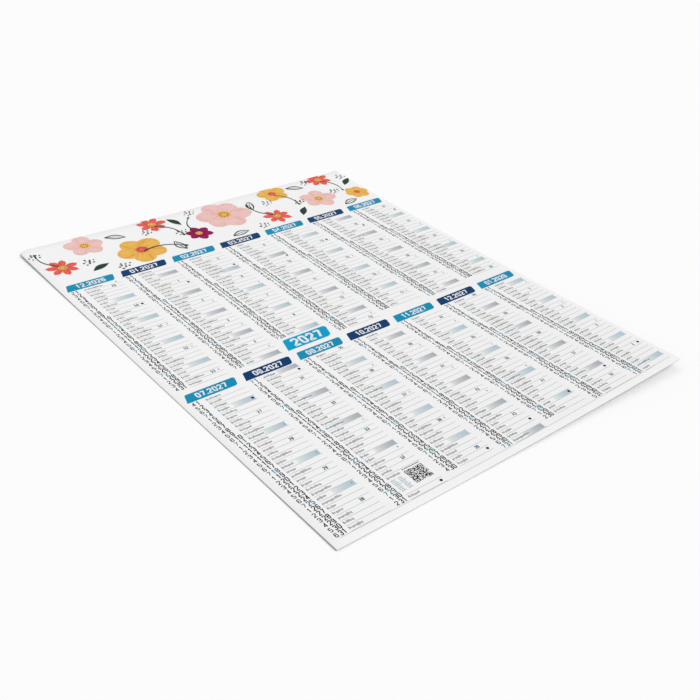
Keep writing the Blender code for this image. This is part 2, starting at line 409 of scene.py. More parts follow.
class CALENDAR_PG_page(PropertyGroup):
    """How the print is laid out on the page."""

    year: IntProperty(name="Year", description="The months run from the December before it", default=2027)
    left_margin: length("Left margin", 0.0093, "Outside the first column")
    right_margin: length("Right margin", 0.0040, "Outside the last column")
    column_gap: length("Column gap", 0.0090, "Between two month columns")
    top_band: length("Top band", 0.0922, "Height of the band of flowers")
    bottom_margin: length("Bottom margin", 0.0092, "Under the last row")
    month_row_gap: length("Month row gap", 0.0079, "Between the upper and the lower months")
    tab_height: length("Tab height", 0.0124, "Of a month tab")
    tab_slant: length("Tab slant", 0.0038, "How far a tab's foot stands to the left")
    tab_round: length("Tab rounding", 0.0030, "Radius of a tab's corners")
    tab_to_rows: length("Tab to rows", 0.0007, "Between a tab and its first row")
    year_tab_height: length("Year tab height", 0.0180, "Of the tall tab")
    year_tab_gap: length("Year tab gap", 0.0066, "Between the year tab and the month tab below it")
    year_tab_inset: length("Year tab inset", 0.0014, "Right of the left end of its column")
    year_tab_column: IntProperty(name="Year tab column", description="Counted from 0", default=2)
    tab_figures: length("Tab figures", 0.0074, "Height of the figures on a month tab")
    year_figures: length("Year figures", 0.0132, "Height of the figures on the year tab")
    tab_weight: share("Tab weight", 0.19, "Stroke width of the figures on the tabs, against their height")
    tab_width_share: share("Tab figure width", 0.60, "Of the figures on the tabs, against their height")
    day_figures: length("Day figures", 0.0059, "Height of the figures of the days")
    day_weight: share("Day weight", 0.155, "Stroke width of the figures of the days, against their height")
    weekday_figures: length("Weekday figures", 0.0050, "Height of the figures of the weekdays")
    weekday_weight: share("Weekday weight", 0.150, "Their stroke width, against their height")
    weekday_width_share: share("Weekday width", 0.62, "Their width, against their height")
    week_figures: length("Week figures", 0.0040, "Height of the figures of the weeks")
    week_weight: share("Week weight", 0.23, "Their stroke width, against their height")
    letter_height: length("Letter height", 0.0018, "Height of the small bars that stand for words")
    small_letter_height: length("Small letter height", 0.0009, "Of the small print at the foot")
    small_line_step: length("Small line step", 0.0020, "From one line of the small print to the next")
    rule_width: length("Rule width", 0.00040, "Of the line under each day")
    foot_rule_width: length("Foot rule width", 0.00051, "Of the line at the foot of the page")
    foot_rule_drop: length("Foot rule drop", 0.0009, "From the foot of the last row")
    moon_radius: length("Moon radius", 0.0015, "Of the dot of a new moon")
    half_moon_radius: length("Half moon radius", 0.0013, "Of the half discs and rings")
    ring_width: length("Ring width", 0.00033, "Of a full moon's ring")
    pattern_cells: IntProperty(name="Pattern cells", description="Along a side of the pattern", default=25)
    pattern_cell_width: length("Pattern cell width", 0.00076, "Of one cell")
    pattern_cell_height: length("Pattern cell height", 0.00068, "Of one cell")
    pattern_drop: length("Pattern drop", 0.0041, "From the top of its first row")
    pattern_line_width: length("Pattern line width", 0.0007, "Of the line over the square pattern")
    pattern_line_drop: length("Pattern line drop", 0.0014, "From the top of the same row")
    print_seed: IntProperty(name="Print seed", description="Of the words and the square pattern", default=11)
    bar_length: length("Bar length", 0.0225, "Of a Sunday bar")
    bar_inset: length("Bar inset", 0.0022, "From the right end of the tab")
    bar_height_share: share("Bar height share", 0.88, "Of the height of a row")

    def pitch(self):
        board = bpy.context.scene.calendar_board
        return (board.width - self.left_margin - self.right_margin + self.column_gap) / COLUMNS

    def tab_width(self):
        return self.pitch() - self.column_gap

    def column_left(self, column):
        return -bpy.context.scene.calendar_board.width / 2 + self.left_margin + column * self.pitch()

    def head(self):
        return self.tab_height + self.tab_to_rows

    def rows_height(self):
        board = bpy.context.scene.calendar_board
        return (board.height - self.top_band - self.bottom_margin - self.month_row_gap) / 2 - self.head()

    def row_height(self):
        return self.rows_height() / ROWS

    def tabs_top(self, row):
        upper = bpy.context.scene.calendar_board.height / 2 - self.top_band
        return upper - row * (self.head() + self.rows_height() + self.month_row_gap)

    def year_tab_left(self):
        return self.column_left(self.year_tab_column) + self.year_tab_inset

    def year_tab_top(self):
        return self.tabs_top(1) + self.year_tab_gap + self.year_tab_height

    def band_point(self, x_share, y_share):
        board = bpy.context.scene.calendar_board
        return Vector((board.width * (x_share - 1 / 2), board.height / 2 - y_share * self.top_band))


class CALENDAR_PG_inks(PropertyGroup):
    """Colours of the board and of the inks on it."""

    white: colour("White", (0.881, 0.885, 0.882), "The coated face of the board")
    # Partly the grey of the board's core and partly painted shade: kept dark so that the lit cut edge still
    # looks shaded
    core: colour("Core", (0.600, 0.598, 0.588), "The cut edge of the board")
    back: colour("Back", (0.700, 0.690, 0.665), "The uncoated back of the board")
    blue: colour("Blue", (0.004, 0.280, 0.480), "Tabs of the even columns")
    bright_blue: colour("Bright blue", (0.001, 0.352, 0.610), "The year tab")
    navy: colour("Navy", (0.002, 0.043, 0.146), "Tabs of the odd columns")
    pale_blue: colour("Pale blue", (0.410, 0.545, 0.610), "Sunday bars of the even columns, small print")
    pale_violet: colour("Pale violet", (0.378, 0.406, 0.452), "Sunday bars of the odd columns")
    sunday: colour("Sunday", (0.030, 0.175, 0.250), "Figures of the Sundays")
    sunday_grey: colour("Sunday grey", (0.250, 0.320, 0.360), "Words of the Sundays")
    black: colour("Black", (0.016, 0.016, 0.017), "Figures of the days, new moons, the pattern and sprays")
    grey: colour("Grey", (0.350, 0.352, 0.338), "Words, the other moons and the line at the foot")
    teal_grey: colour("Teal grey", (0.130, 0.220, 0.240), "Figures of the weeks")
    rule: colour("Rule", (0.450, 0.450, 0.450), "Lines under the days")
    coral: colour("Coral", (0.820, 0.130, 0.090), "Petals")
    magenta: colour("Magenta", (0.320, 0.004, 0.090), "Petals")
    ochre: colour("Ochre", (0.830, 0.480, 0.100), "Petals")
    pink: colour("Pink", (0.830, 0.480, 0.440), "Petals")
    green: colour("Green", (0.016, 0.050, 0.034), "Stems and leaves")


class CALENDAR_PG_flowers(PropertyGroup):
    """Sizes of the flowers in the top band."""

    radius: length("Radius", 0.0175, "Of a flower of size 1")
    heart: length("Heart", 0.0042, "Radius of the middle of a flower of size 1")
    leaf_length: length("Leaf length", 0.0230, "From its stalk to its tip")
    leaf_width: length("Leaf width", 0.0085, "At its middle")
    line: length("Line", 0.00175, "Width of a brushed leaf line at its widest")
    stem_line: length("Stem line", 0.00105, "Width of a stem of size 1")
    seed: IntProperty(name="Seed", description="Of the hand-drawn unevenness", default=7)


class CALENDAR_PG_stage(PropertyGroup):
    """The floor, the lamps and the camera."""

    floor: colour("Floor", (0.975, 0.975, 0.975), "The floor as the camera sees it")
    dull_floor: colour("Dull floor", (0.700, 0.700, 0.700), "The floor as it lights the board")
    room: FloatProperty(name="Room", description="Strength of the room's even light", default=0.52)
    softness: angle("Lamp softness", 32, "How wide each lamp looks")
    key: FloatProperty(name="Key", description="Strength of the lamp in front", default=1.76)
    key_azimuth: angle("Key azimuth", 150, "Where the key stands, clockwise from the top of the page")
    key_elevation: angle("Key elevation", 48, "How high the key stands")
    fill: FloatProperty(name="Fill", description="Strength of the lamp behind", default=0.26)
    fill_azimuth: angle("Fill azimuth", 20, "Where the fill stands, clockwise from the top of the page")
    fill_elevation: angle("Fill elevation", 48, "How high the fill stands")
    lens: FloatProperty(name="Lens", description="In millimetres, on a 36 mm sensor", default=51.49)
    azimuth: angle("Camera azimuth", -44.574, "Where the camera stands round the page")
    elevation: angle("Camera elevation", 32.494, "How high the camera stands")
    roll: angle("Camera roll", -5.798, "How far the camera leans")
    distance: length("Camera distance", 0.9879, "From the point that it aims at")
    aim_x: length("Aim X", 0.0174, "The point on the page that the camera aims at")
    aim_y: length("Aim Y", -0.0886, "The point on the page that the camera aims at")
    shift_x: FloatProperty(name="Shift X", description="Of the lens, in frames", default=-0.0793)
    shift_y: FloatProperty(name="Shift Y", description="Of the lens, in frames", default=-0.0115)


class Signal:
    """A socket that takes part in sums. Each sum adds its Math node to the same tree."""

    def __init__(self, nodes, socket):
        self.nodes = nodes
        self.socket = socket

    def __add__(self, other):
        return self.nodes.math("ADD", self, other)

    def __sub__(self, other):
        return self.nodes.math("SUBTRACT", self, other)

    def __rsub__(self, other):
        return self.nodes.math("SUBTRACT", other, self)

    def __mul__(self, other):
        return self.nodes.math("MULTIPLY", self, other)

    def __pow__(self, other):
        return self.nodes.math("POWER", self, other)

    __radd__ = __add__
    __rmul__ = __mul__


class Nodes:
    """A node tree that is filled by expressions."""

    # The colour sockets of a Mix node, whose other sockets have the same names
    MIX_FACTOR = 0
    MIX_FIRST = 6
    MIX_SECOND = 7
    MIX_RESULT = 2

    def __init__(self, tree):
        self.tree = tree

    def feed(self, socket, value):
        if isinstance(value, Signal):
            self.tree.links.new(value.socket, socket)
        else:
            socket.default_value = value

    def add(self, kind, settings, values, output=0):
        """Add a node, set it and return one of its outputs."""
        node = self.tree.nodes.new(kind)
        for setting, value in settings.items():
            setattr(node, setting, value)
        for socket, value in values.items():
            self.feed(node.inputs[socket], value)
        return Signal(self, node.outputs[output])

    def math(self, operation, first, second):
        return self.add("ShaderNodeMath", {"operation": operation}, {0: first, 1: second})

    def clamp(self, value):
        return self.add("ShaderNodeClamp", {}, {0: value})

    def mix(self, factor, first, second):
        """A colour between two colours."""
        first, second = (one if isinstance(one, Signal) else (*one, 1) for one in (first, second))
        values = {self.MIX_FACTOR: factor, self.MIX_FIRST: first, self.MIX_SECOND: second}
        return self.add("ShaderNodeMix", {"data_type": "RGBA"}, values, self.MIX_RESULT)

    def is_seen(self):
        """1 where the camera looks, straight or by way of gloss or glass, and 0 for the light itself."""
        seen = sum(
            self.add("ShaderNodeLightPath", {}, {}, ray)
            for ray in ("Is Camera Ray", "Is Glossy Ray", "Is Transmission Ray")
        )
        return self.clamp(seen)


class Finish(Nodes):
    """One material and its nodes."""

    def __init__(self, name):
        self.material = bpy.data.materials.new(name)
        self.material.use_nodes = True
        super().__init__(self.material.node_tree)
        self.shader = self.tree.nodes["Principled BSDF"]

    def place(self):
        """Where the point lies on the object, in metres."""
        return self.add("ShaderNodeTexCoord", {}, {}, "Object")

    def stretched(self, place, scale):
        return self.add("ShaderNodeMapping", {"vector_type": "POINT"}, {"Vector": place, "Scale": scale})

    def noise(self, place, grain):
        """Cloudy noise from 0 to 1, with the patches of one of the grains."""
        size, detail = GRAINS[grain]
        values = {"Vector": place, "Scale": 1 / size, "Detail": detail}
        return self.add("ShaderNodeTexNoise", {}, values)

    def finish(self, kind, base, patches, height, gloss=MATT_GLOSS):
        """Join colour, roughness and relief. The patches roughen it, and the height gives its relief."""
        least, more = ROUGHNESSES[kind]
        values = {"Height": height, "Strength": 1.0, "Distance": RELIEFS[kind]}
        normal = self.add("ShaderNodeBump", {}, values, "Normal")
        self.shader.inputs["Specular IOR Level"].default_value = gloss
        self.feed(self.shader.inputs["Base Color"], base)
        self.feed(self.shader.inputs["Roughness"], least + patches * more)
        self.feed(self.shader.inputs["Normal"], normal)
        return self.material


def shaded(tone, share_of_tone):
    return [value * share_of_tone for value in tone]


def coated_white(finish, place):
    """The coated face: soft clouds a hand wide and fibres under a millimetre long."""
    white = bpy.context.scene.calendar_inks.white
    dull_share = 0.94
    cloud_share = 0.55
    fibre_share = 0.45
    fibre_stretch = (1.0, 2.2, 1.0)
    clouds = finish.noise(place, "white_clouds")
    fibres = finish.noise(finish.stretched(place, fibre_stretch), "white_fibres")
    patches = finish.clamp(clouds * cloud_share + fibres * fibre_share)
    return finish.mix(patches, shaded(white, dull_share), white)


def board_face():
    finish = Finish("coated_face")
    place = finish.place()
    fibres = finish.noise(place, "face_fibres")
    gloss = finish.noise(place, "face_gloss")
    return finish.finish("face", coated_white(finish, place), gloss, fibres, COATED_GLOSS)


def board_edge():
    """The cut edge, where the layers of the card show as thin lines. Its core colour is partly the board's
    grey core and partly painted shade.
    """
    core = bpy.context.scene.calendar_inks.core
    pale_share = 1.25
    layer_share = 0.7
    nick_share = 0.3
    layer_stretch = (0.15, 0.15, 4.0)
    finish = Finish("cut_edge")
    place = finish.place()
    layers = finish.noise(finish.stretched(place, layer_stretch), "edge_layers")
    nicks = finish.noise(place, "edge_nicks")
    base = finish.mix(layers * layer_share + nicks * nick_share, core, shaded(core, pale_share))
    return finish.finish("edge", base, nicks, layers + nicks)


def board_back():
    back = bpy.context.scene.calendar_inks.back
    dull_share = 0.86
    cloud_share = 0.6
    pulp_share = 0.4
    pulp_stretch = (1.0, 3.0, 1.0)
    finish = Finish("uncoated_back")
    place = finish.place()
    pulp = finish.noise(finish.stretched(place, pulp_stretch), "back_pulp")
    clouds = finish.noise(place, "back_clouds")
    patches = finish.clamp(clouds * cloud_share + pulp * pulp_share)
    return finish.finish("back", finish.mix(patches, shaded(back, dull_share), back), pulp, pulp)


def plain_ink(name, tone, cover=FULL_COVER):
    """A solid ink: the paper shows through a little where the fibres took less of it."""
    deep_share = 0.86
    film_share = 0.08
    finish = Finish(name + "_ink")
    place = finish.place()
    film = finish.noise(place, "ink_film")
    solid = finish.mix(finish.noise(place, "ink_clouds"), shaded(tone, deep_share), tone)
    covered = finish.clamp(cover + (film - NOISE_MIDDLE) * film_share)
    base = finish.mix(covered, coated_white(finish, place), solid)
    return finish.finish("ink", base, film, film)


def fading_ink(name, tone):
    """A tint that fades in along its own U, from bare board to the full tone."""
    fade_power = 0.45
    least_cover = 0.90
    film_share = 0.16
    finish = Finish(name + "_ink")
    place = finish.place()
    own = finish.add("ShaderNodeUVMap", {}, {})
    along = finish.add("ShaderNodeSeparateXYZ", {}, {0: own}, "X")
    film = finish.noise(place, "ink_film")
    covered = finish.clamp(along ** fade_power * (least_cover + film * film_share))
    base = finish.mix(covered, coated_white(finish, place), tone)
    return finish.finish("tint", base, film, film)


def brushed_ink(name, tone, deep, cover):
    """The paint of a petal or a leaf: brush marks run along its U, and it deepens towards its foot."""
    bristle_stretch = (0.5, 3.2, 1.0)
    bristle_start = 0.46
    bristle_contrast = 6.0
    bristle_share = 0.75
    heart_power = 2.0
    heart_share = 0.40
    wash_share = 0.30
    film_share = 0.08
    finish = Finish(name + "_paint")
    place = finish.place()
    own = finish.add("ShaderNodeUVMap", {}, {})
    along = finish.add("ShaderNodeSeparateXYZ", {}, {0: own}, "X")
    bristles = finish.noise(finish.stretched(own, bristle_stretch), "paint_bristles")
    washes = finish.noise(place, "paint_washes")
    film = finish.noise(place, "paint_film")
    strokes = finish.clamp((bristles - bristle_start) * bristle_contrast) * bristle_share
    marks = finish.clamp(strokes + (1 - along) ** heart_power * heart_share)
    uneven = (washes - NOISE_MIDDLE) * wash_share + (film - NOISE_MIDDLE) * film_share
    covered = finish.clamp(cover + uneven)
    base = finish.mix(covered, coated_white(finish, place), finish.mix(marks, tone, deep))
    return finish.finish("paint", base, film, film + bristles)


def floor_finish():
    """The floor: near white where the camera sees it, and duller for the light that it throws back."""
    stage = bpy.context.scene.calendar_stage
    finish = Finish("pale_floor")
    tooth = finish.noise(finish.place(), "floor_tooth")
    base = finish.mix(finish.is_seen(), stage.dull_floor, stage.floor)
    return finish.finish("floor", base, tooth, tooth)


def deselect():
    bpy.ops.object.select_all(action="DESELECT")


def add_plate(left, bottom, width, height):
    """A flat rectangle on the page."""
    deselect()
    bpy.ops.mesh.primitive_plane_add(size=1, location=(left + width / 2, bottom + height / 2, 0))
    plate = bpy.context.object
    plate.scale = (width, height, 1)
    bpy.ops.object.transform_apply(location=True, rotation=True, scale=True)
    return plate


def add_disc(x, y, radius, sides):
    """A flat disc on the page."""
    deselect()
    bpy.ops.mesh.primitive_circle_add(vertices=sides, radius=radius, fill_type="NGON", location=(x, y, 0))
    disc = bpy.context.object
    bpy.ops.object.transform_apply(location=True, rotation=True, scale=True)
    return disc


def edit_where(piece, wanted):
    """Enter edit mode on a piece, with only the vertices selected that are wanted."""
    bpy.context.view_layer.objects.active = piece
    bpy.ops.object.mode_set(mode="EDIT")
    bpy.context.tool_settings.mesh_select_mode = (True, False, False)
    cage = bmesh.from_edit_mesh(piece.data)
    for vertex in cage.verts:
        vertex.select = wanted(vertex.co)
    cage.select_mode = {"VERT"}
    cage.select_flush_mode()
    bmesh.update_edit_mesh(piece.data)


def leave_edit():
    bpy.ops.object.mode_set(mode="OBJECT")


def round_corner(piece, corner, radius, segments):
    near = radius * CORNER_REACH_SHARE
    edit_where(piece, lambda place: (place.xy - corner).length < near)
    bpy.ops.mesh.bevel(offset=radius, affect="VERTICES", segments=segments, profile=ARC_PROFILE)
    leave_edit()


def copy_to(piece, x, y, turn=0.0, size=1.0, rise=0.0):
    """A copy with its own mesh, turned and sized about the page's middle and then moved."""
    copy = piece.copy()
    copy.data = piece.data.copy()
    copy.data.transform(
        Matrix.Translation((x, y, rise)) @ Matrix.Rotation(turn, 4, "Z") @ Matrix.Diagonal((size, size, 1, 1))
    )
    bpy.context.collection.objects.link(copy)
    return copy


def remove(piece):
    bpy.data.objects.remove(piece, do_unlink=True)


def join(pieces):
    deselect()
    for piece in pieces:
        piece.select_set(True)
    bpy.context.view_layer.objects.active = pieces[0]
    bpy.ops.object.join()
    return bpy.context.object


def cut_to_net(piece):
    """Cut a flat piece along an even net of lines, so that it can bend with the board."""
    corners = [vertex.co for vertex in piece.data.vertices]
    bpy.context.view_layer.objects.active = piece
    bpy.ops.object.mode_set(mode="EDIT")
    for axis in (0, 1):
        low = min(corner[axis] for corner in corners)
        high = max(corner[axis] for corner in corners)
        normal = Vector((axis == 0, axis == 1, 0))
        for step in range(math.ceil(low / NET_SPACING), math.ceil(high / NET_SPACING)):
            bpy.ops.mesh.select_all(action="SELECT")
            bpy.ops.mesh.bisect(plane_co=normal * step * NET_SPACING, plane_no=normal)
    leave_edit()


def trim_to_board(piece):
    """Cut off what would run over the edge of the board."""
    board = bpy.context.scene.calendar_board
    bpy.context.view_layer.objects.active = piece
    bpy.ops.object.mode_set(mode="EDIT")
    for out in ((1, 0, 0), (-1, 0, 0), (0, 1, 0), (0, -1, 0)):
        outwards = Vector(out)
        reach = abs(outwards.x) * board.width / 2 + abs(outwards.y) * board.height / 2 - TRIM_CLEARANCE
        bpy.ops.mesh.select_all(action="SELECT")
        bpy.ops.mesh.bisect(plane_co=outwards * reach, plane_no=outwards, clear_outer=True)
    leave_edit()


def lay_on_board(piece, lift):
    """Raise a flat piece onto the board's printed face."""
    board = bpy.context.scene.calendar_board
    places = np.empty(3 * len(piece.data.vertices), np.float32)
    piece.data.vertices.foreach_get("co", places)
    places = places.reshape(-1, 3)
    places[:, 2] += board.thickness + board.curl(places[:, 0], places[:, 1]) + lift
    piece.data.vertices.foreach_set("co", places.ravel())
    piece.data.update()


def keep(piece, name, materials):
    """Name a finished piece, give it its materials and set it on the frame."""
    piece.name = name
    piece.data.name = name
    piece.data.materials.clear()
    for material in materials:
        piece.data.materials.append(material)
    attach(piece, BODY)
    return piece


def print_piece(piece, name, material, lift):
    """Lay a flat piece of print on the board and keep it."""
    lay_on_board(piece, lift)
    return keep(piece, name, [material])


def add_stroke(points, width):
    """A flat band along the points with mitred corners, which closes where its ends meet.

    A point is drawn out from corner to corner, and then down into a wall. The wall gets its width, and
    only its top is kept.
    """
    deselect()
    bpy.ops.mesh.primitive_plane_add(size=1)
    stroke = bpy.context.object
    edit_where(stroke, lambda place: True)
    bpy.ops.mesh.merge(type="CENTER")
    bpy.ops.transform.translate(value=(*points[0], 0))
    for start, end in zip(points, points[1:]):
        bpy.ops.mesh.extrude_region_move(TRANSFORM_OT_translate={"value": (*(end - start), 0)})
    bpy.ops.mesh.select_all(action="SELECT")
    bpy.ops.mesh.remove_doubles(threshold=MERGE_DISTANCE)
    bpy.ops.mesh.extrude_region_move(TRANSFORM_OT_translate={"value": (0, 0, -STROKE_WALL)})
    leave_edit()
    wall = stroke.modifiers.new("width", "SOLIDIFY")
    wall.thickness = width
    wall.offset = 0
    wall.use_even_offset = True
    bpy.ops.object.modifier_apply(modifier=wall.name)
    edit_where(stroke, lambda place: place.z < -STROKE_WALL / 2)
    bpy.ops.mesh.delete(type="VERT")
    leave_edit()
    return stroke


def add_brushed(reach, width, width_share_at, bow):
    """A brush mark along +X that bows off towards +Y, with a width for each share of its reach."""
    mark = add_plate(0, -width / 2, reach, width)
    places = [reach * step / BRUSH_STEPS for step in range(BRUSH_STEPS + 1)]
    edit_where(mark, lambda place: True)
    for place in places[1:-1]:
        bpy.ops.mesh.select_all(action="SELECT")
        bpy.ops.mesh.bisect(plane_co=(place, 0, 0), plane_no=(1, 0, 0))
    leave_edit()
    for place in places:
        share_along = place / reach
        edit_where(mark, lambda point: abs(point.x - place) < MERGE_DISTANCE)
        bpy.ops.transform.resize(value=(1, width_share_at(share_along), 1), center_override=(place, 0, 0))
        bpy.ops.transform.translate(value=(0, bow * math.sin(math.pi * share_along), 0))
        leave_edit()
    return mark


def add_word(letters, height, chance):
    """A word that can't be read: an upright bar for each letter, some of them tall and some hanging."""
    left = 0
    bars = []
    for _ in range(letters):
        width = height * chance.uniform(*LETTER_WIDTH_SHARES)
        top = height * chance.choice(LETTER_TOP_SHARES)
        foot = height * chance.choice(LETTER_FOOT_SHARES)
        bars.append(add_plate(left, -height / 2 - foot, width, top + foot))
        left += width + height * LETTER_GAP_SHARE
    return join(bars)


class Lettering:
    """Plain figures of one height. Each is modelled once, and lines are written with copies."""

    def __init__(self, height, weight, width_share=FIGURE_WIDTH_SHARE):
        self.height = height
        self.stroke = height * weight
        self.figure_width = height * width_share
        self.gap = height * FIGURE_GAP_SHARE
        self.templates = {figure: self.model(figure) for figure in FIGURE_STROKES_SHARES}
        self.templates[DOT] = add_plate(0, 0, self.stroke, self.stroke)

    def model(self, figure):
        """A figure with its lower left corner at the page's middle."""
        across = self.figure_width - self.stroke
        up = self.height - self.stroke
        corner = Vector((self.stroke, self.stroke)) / 2
        return join([
            add_stroke([corner + Vector((x * across, y * up)) for x, y in shares], self.stroke)
            for shares in FIGURE_STROKES_SHARES[figure]
        ])

    def advance(self, figure):
        return self.gap + (self.stroke if figure == DOT else self.figure_width)

    def width(self, words):
        return sum(self.advance(figure) for figure in words) - self.gap

    def write(self, words, left, middle):
        """Copies of the figures of a line, from its left end and about its middle height."""
        copies = []
        for figure in words:
            copies.append(copy_to(self.templates[figure], left, middle - self.height / 2))
            left += self.advance(figure)
        return copies

    def clear(self):
        for template in self.templates.values():
            remove(template)


class Month:
    """One month's column: where it stands on the page and which days it has."""

    def __init__(self, index):
        page = bpy.context.scene.calendar_page
        months_a_year = 12
        self.year, months_before = divmod(page.year * months_a_year - 1 + index, months_a_year)
        self.number = months_before + 1
        self.days = calendar.monthrange(self.year, self.number)[1]
        self.row, self.column = divmod(index, COLUMNS)
        self.has_pattern = index == PATTERN_MONTH
        self.is_odd = self.column % 2 == 1
        self.left = page.column_left(self.column)
        self.tab_top = page.tabs_top(self.row)
        self.rows_top = self.tab_top - page.head()
        self.row_height = page.row_height()

    def date(self, day):
        return datetime.date(self.year, self.number, day)

    def is_sunday(self, day):
        return self.date(day).weekday() == calendar.SUNDAY

    def row_top(self, day):
        return self.rows_top - (day - 1) * self.row_height

    def row_middle(self, day):
        return self.row_top(day) - self.row_height / 2

    def days_without(self, missing):
        """The month's days, less those whose place the pattern or its small print takes."""
        return [day for day in range(1, self.days + 1) if not (self.has_pattern and day in missing)]


def all_months():
    return [Month(index) for index in range(MONTHS)]


def moon_phases():
    """The days on which a phase of the moon falls, with the phase in quarters from the new moon."""
    new_moons = [datetime.date(*day) for day in NEW_MOONS]
    return {
        start + (end - start) * phase / PHASES: phase
        for start, end in zip(new_moons, new_moons[1:])
        for phase in range(PHASES)
    }


class CALENDAR_OT_board(Operator):
    """Cut the board, curl its corners and round its cut edge"""

    bl_idname = "calendar.board"
    bl_label = "Board"

    def execute(self, context):
        board = context.scene.calendar_board
        sheet = add_plate(-board.width / 2, -board.height / 2, board.width, board.height)
        corner = Vector((-board.width / 2, board.height / 2))
        round_corner(sheet, corner, board.worn_corner, WORN_CORNER_SEGMENTS)
        cut_to_net(sheet)
        lay_on_board(sheet, 0)
        wall = sheet.modifiers.new("thickness", "SOLIDIFY")
        wall.thickness = board.thickness
        wall.offset = -1
        wall.material_offset = BACK_MATERIAL
        wall.material_offset_rim = EDGE_MATERIAL
        keep(sheet, "board", [board_face(), board_edge(), board_back()])
        bpy.ops.object.modifier_apply(modifier=wall.name)
        edge = sheet.modifiers.new("edge", "BEVEL")
        edge.width = board.edge_round
        edge.segments = EDGE_SEGMENTS
        edge.limit_method = "ANGLE"
        bpy.ops.object.modifier_apply(modifier=edge.name)
        deselect()
        sheet.select_set(True)
        bpy.ops.object.shade_smooth_by_angle(angle=SMOOTH_BELOW)
        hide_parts(NODE)
        return {"FINISHED"}


class CALENDAR_OT_tabs(Operator):
    """Print the coloured tabs over the months and the tall tab of the year"""

    bl_idname = "calendar.tabs"
    bl_label = "Tabs"

    def tab(self, page, left, top, height):
        """A slanted tab: its left foot is sharp, and it is rounder at its right end than at its left."""
        width = page.tab_width()
        slant = page.tab_slant * height / page.tab_height
        soft = page.tab_round * height / page.tab_height
        tab = add_plate(left, top - height, width, height)
        middle = top - height / 2
        edit_where(tab, lambda place: place.y < middle)
        bpy.ops.transform.translate(value=(-slant, 0, 0))
        leave_edit()
        for corner, radius in (
            (Vector((left, top)), soft * TAB_LEFT_ROUND_SHARE),
            (Vector((left + width, top)), soft),
            (Vector((left + width - slant, top - height)), soft),
        ):
            round_corner(tab, corner, radius, TAB_CORNER_SEGMENTS)
        return tab

    def execute(self, context):
        page = context.scene.calendar_page
        inks = context.scene.calendar_inks
        tabs = {"blue": [], "navy": []}
        for month in all_months():
            tab = self.tab(page, month.left, month.tab_top, page.tab_height)
            tabs["navy" if month.is_odd else "blue"].append(tab)
        year_tab = self.tab(page, page.year_tab_left(), page.year_tab_top(), page.year_tab_height)
        tabs["bright_blue"] = [year_tab]
        for ink, plates in tabs.items():
            joined = join(plates)
            cut_to_net(joined)
            print_piece(joined, ink + "_tabs", plain_ink(ink, getattr(inks, ink)), PRINT_LIFT)
        return {"FINISHED"}


class CALENDAR_OT_tab_figures(Operator):
    """Print the white figures of the month and the year on the tabs"""

    bl_idname = "calendar.tab_figures"
    bl_label = "Tab figures"

    def execute(self, context):
        page = context.scene.calendar_page
        months = Lettering(page.tab_figures, page.tab_weight, page.tab_width_share)
        years = Lettering(page.year_figures, page.tab_weight, page.tab_width_share)
        labels = [
            (f"{month.number:02d}.{month.year}", months, month.left, month.tab_top, page.tab_height)
            for month in all_months()
        ]
        year_place = (page.year_tab_left(), page.year_tab_top(), page.year_tab_height)
        labels.append((str(page.year), years, *year_place))
        copies = []
        for words, lettering, left, top, height in labels:
            slant = page.tab_slant * height / page.tab_height
            inset = (page.tab_width() - slant - lettering.width(words)) / 2
            copies += lettering.write(words, left + inset, top - height / 2)
        months.clear()
        years.clear()
        white = plain_ink("white", context.scene.calendar_inks.white)
        print_piece(join(copies), "tab_figures", white, KNOCKOUT_LIFT)
        return {"FINISHED"}


class CALENDAR_OT_day_figures(Operator):
    """Print the figures of the days, the weekdays and the weeks"""

    bl_idname = "calendar.day_figures"
    bl_label = "Day figures"

    def execute(self, context):
        page = context.scene.calendar_page
        inks = context.scene.calendar_inks
        days = Lettering(page.day_figures, page.day_weight)
        weekdays = Lettering(page.weekday_figures, page.weekday_weight, page.weekday_width_share)
        weeks = Lettering(page.week_figures, page.week_weight)
        copies = {"day": [], "weekday": [], "sunday": [], "week": []}
        for month in all_months():
            for day in range(1, month.days + 1):
                middle = month.row_middle(day)
                date = month.date(day)
                is_sunday = month.is_sunday(day)
                number = days.write(str(day), month.left + DAYS_LEFT, middle)
                weekday = weekdays.write(str(date.isoweekday()), month.left + WEEKDAYS_LEFT, middle)
                copies["sunday" if is_sunday else "day"] += number
                copies["sunday" if is_sunday else "weekday"] += weekday
                if date.weekday() == calendar.WEDNESDAY:
                    week = str(date.isocalendar()[1])
                    copies["week"] += weeks.write(week, month.left + WEEK_FIGURES_LEFT, middle)
        for lettering in (days, weekdays, weeks):
            lettering.clear()
        inks_of = {"day": inks.black, "weekday": inks.black, "sunday": inks.sunday, "week": inks.teal_grey}
        for name, figures in copies.items():
            ink = plain_ink(name + "_figures", inks_of[name])
            print_piece(join(figures), name + "_figures", ink, PRINT_LIFT)
        return {"FINISHED"}


class CALENDAR_OT_day_words(Operator):
    """Print the small bars that stand for the words beside the days"""

    bl_idname = "calendar.day_words"
    bl_label = "Day words"

    def execute(self, context):
        page = context.scene.calendar_page
        inks = context.scene.calendar_inks
        chance = random.Random(page.print_seed)
        shorts = [add_word(letters, page.letter_height, chance) for letters in SHORT_WORDS]
        longs = [add_word(letters, page.letter_height, chance) for letters in LONG_WORDS]
        long_start = page.letter_height * LONG_WORD_START_SHARE
        copies = {"plain_words": [], "sunday_words": []}
        for month in all_months():
            for day in month.days_without(SMALL_PRINT_DAYS):
                line = copies["sunday_words" if month.is_sunday(day) else "plain_words"]
                left = month.left + NAMES_LEFT
                middle = month.row_middle(day)
                line.append(copy_to(chance.choice(shorts), left, middle))
                line.append(copy_to(chance.choice(longs), left + long_start, middle))
        for template in (*shorts, *longs):
            remove(template)
        tones = {"plain_words": inks.grey, "sunday_words": inks.sunday_grey}
        for name, lines in copies.items():
            print_piece(join(lines), name, plain_ink(name, tones[name]), PRINT_LIFT)
        return {"FINISHED"}


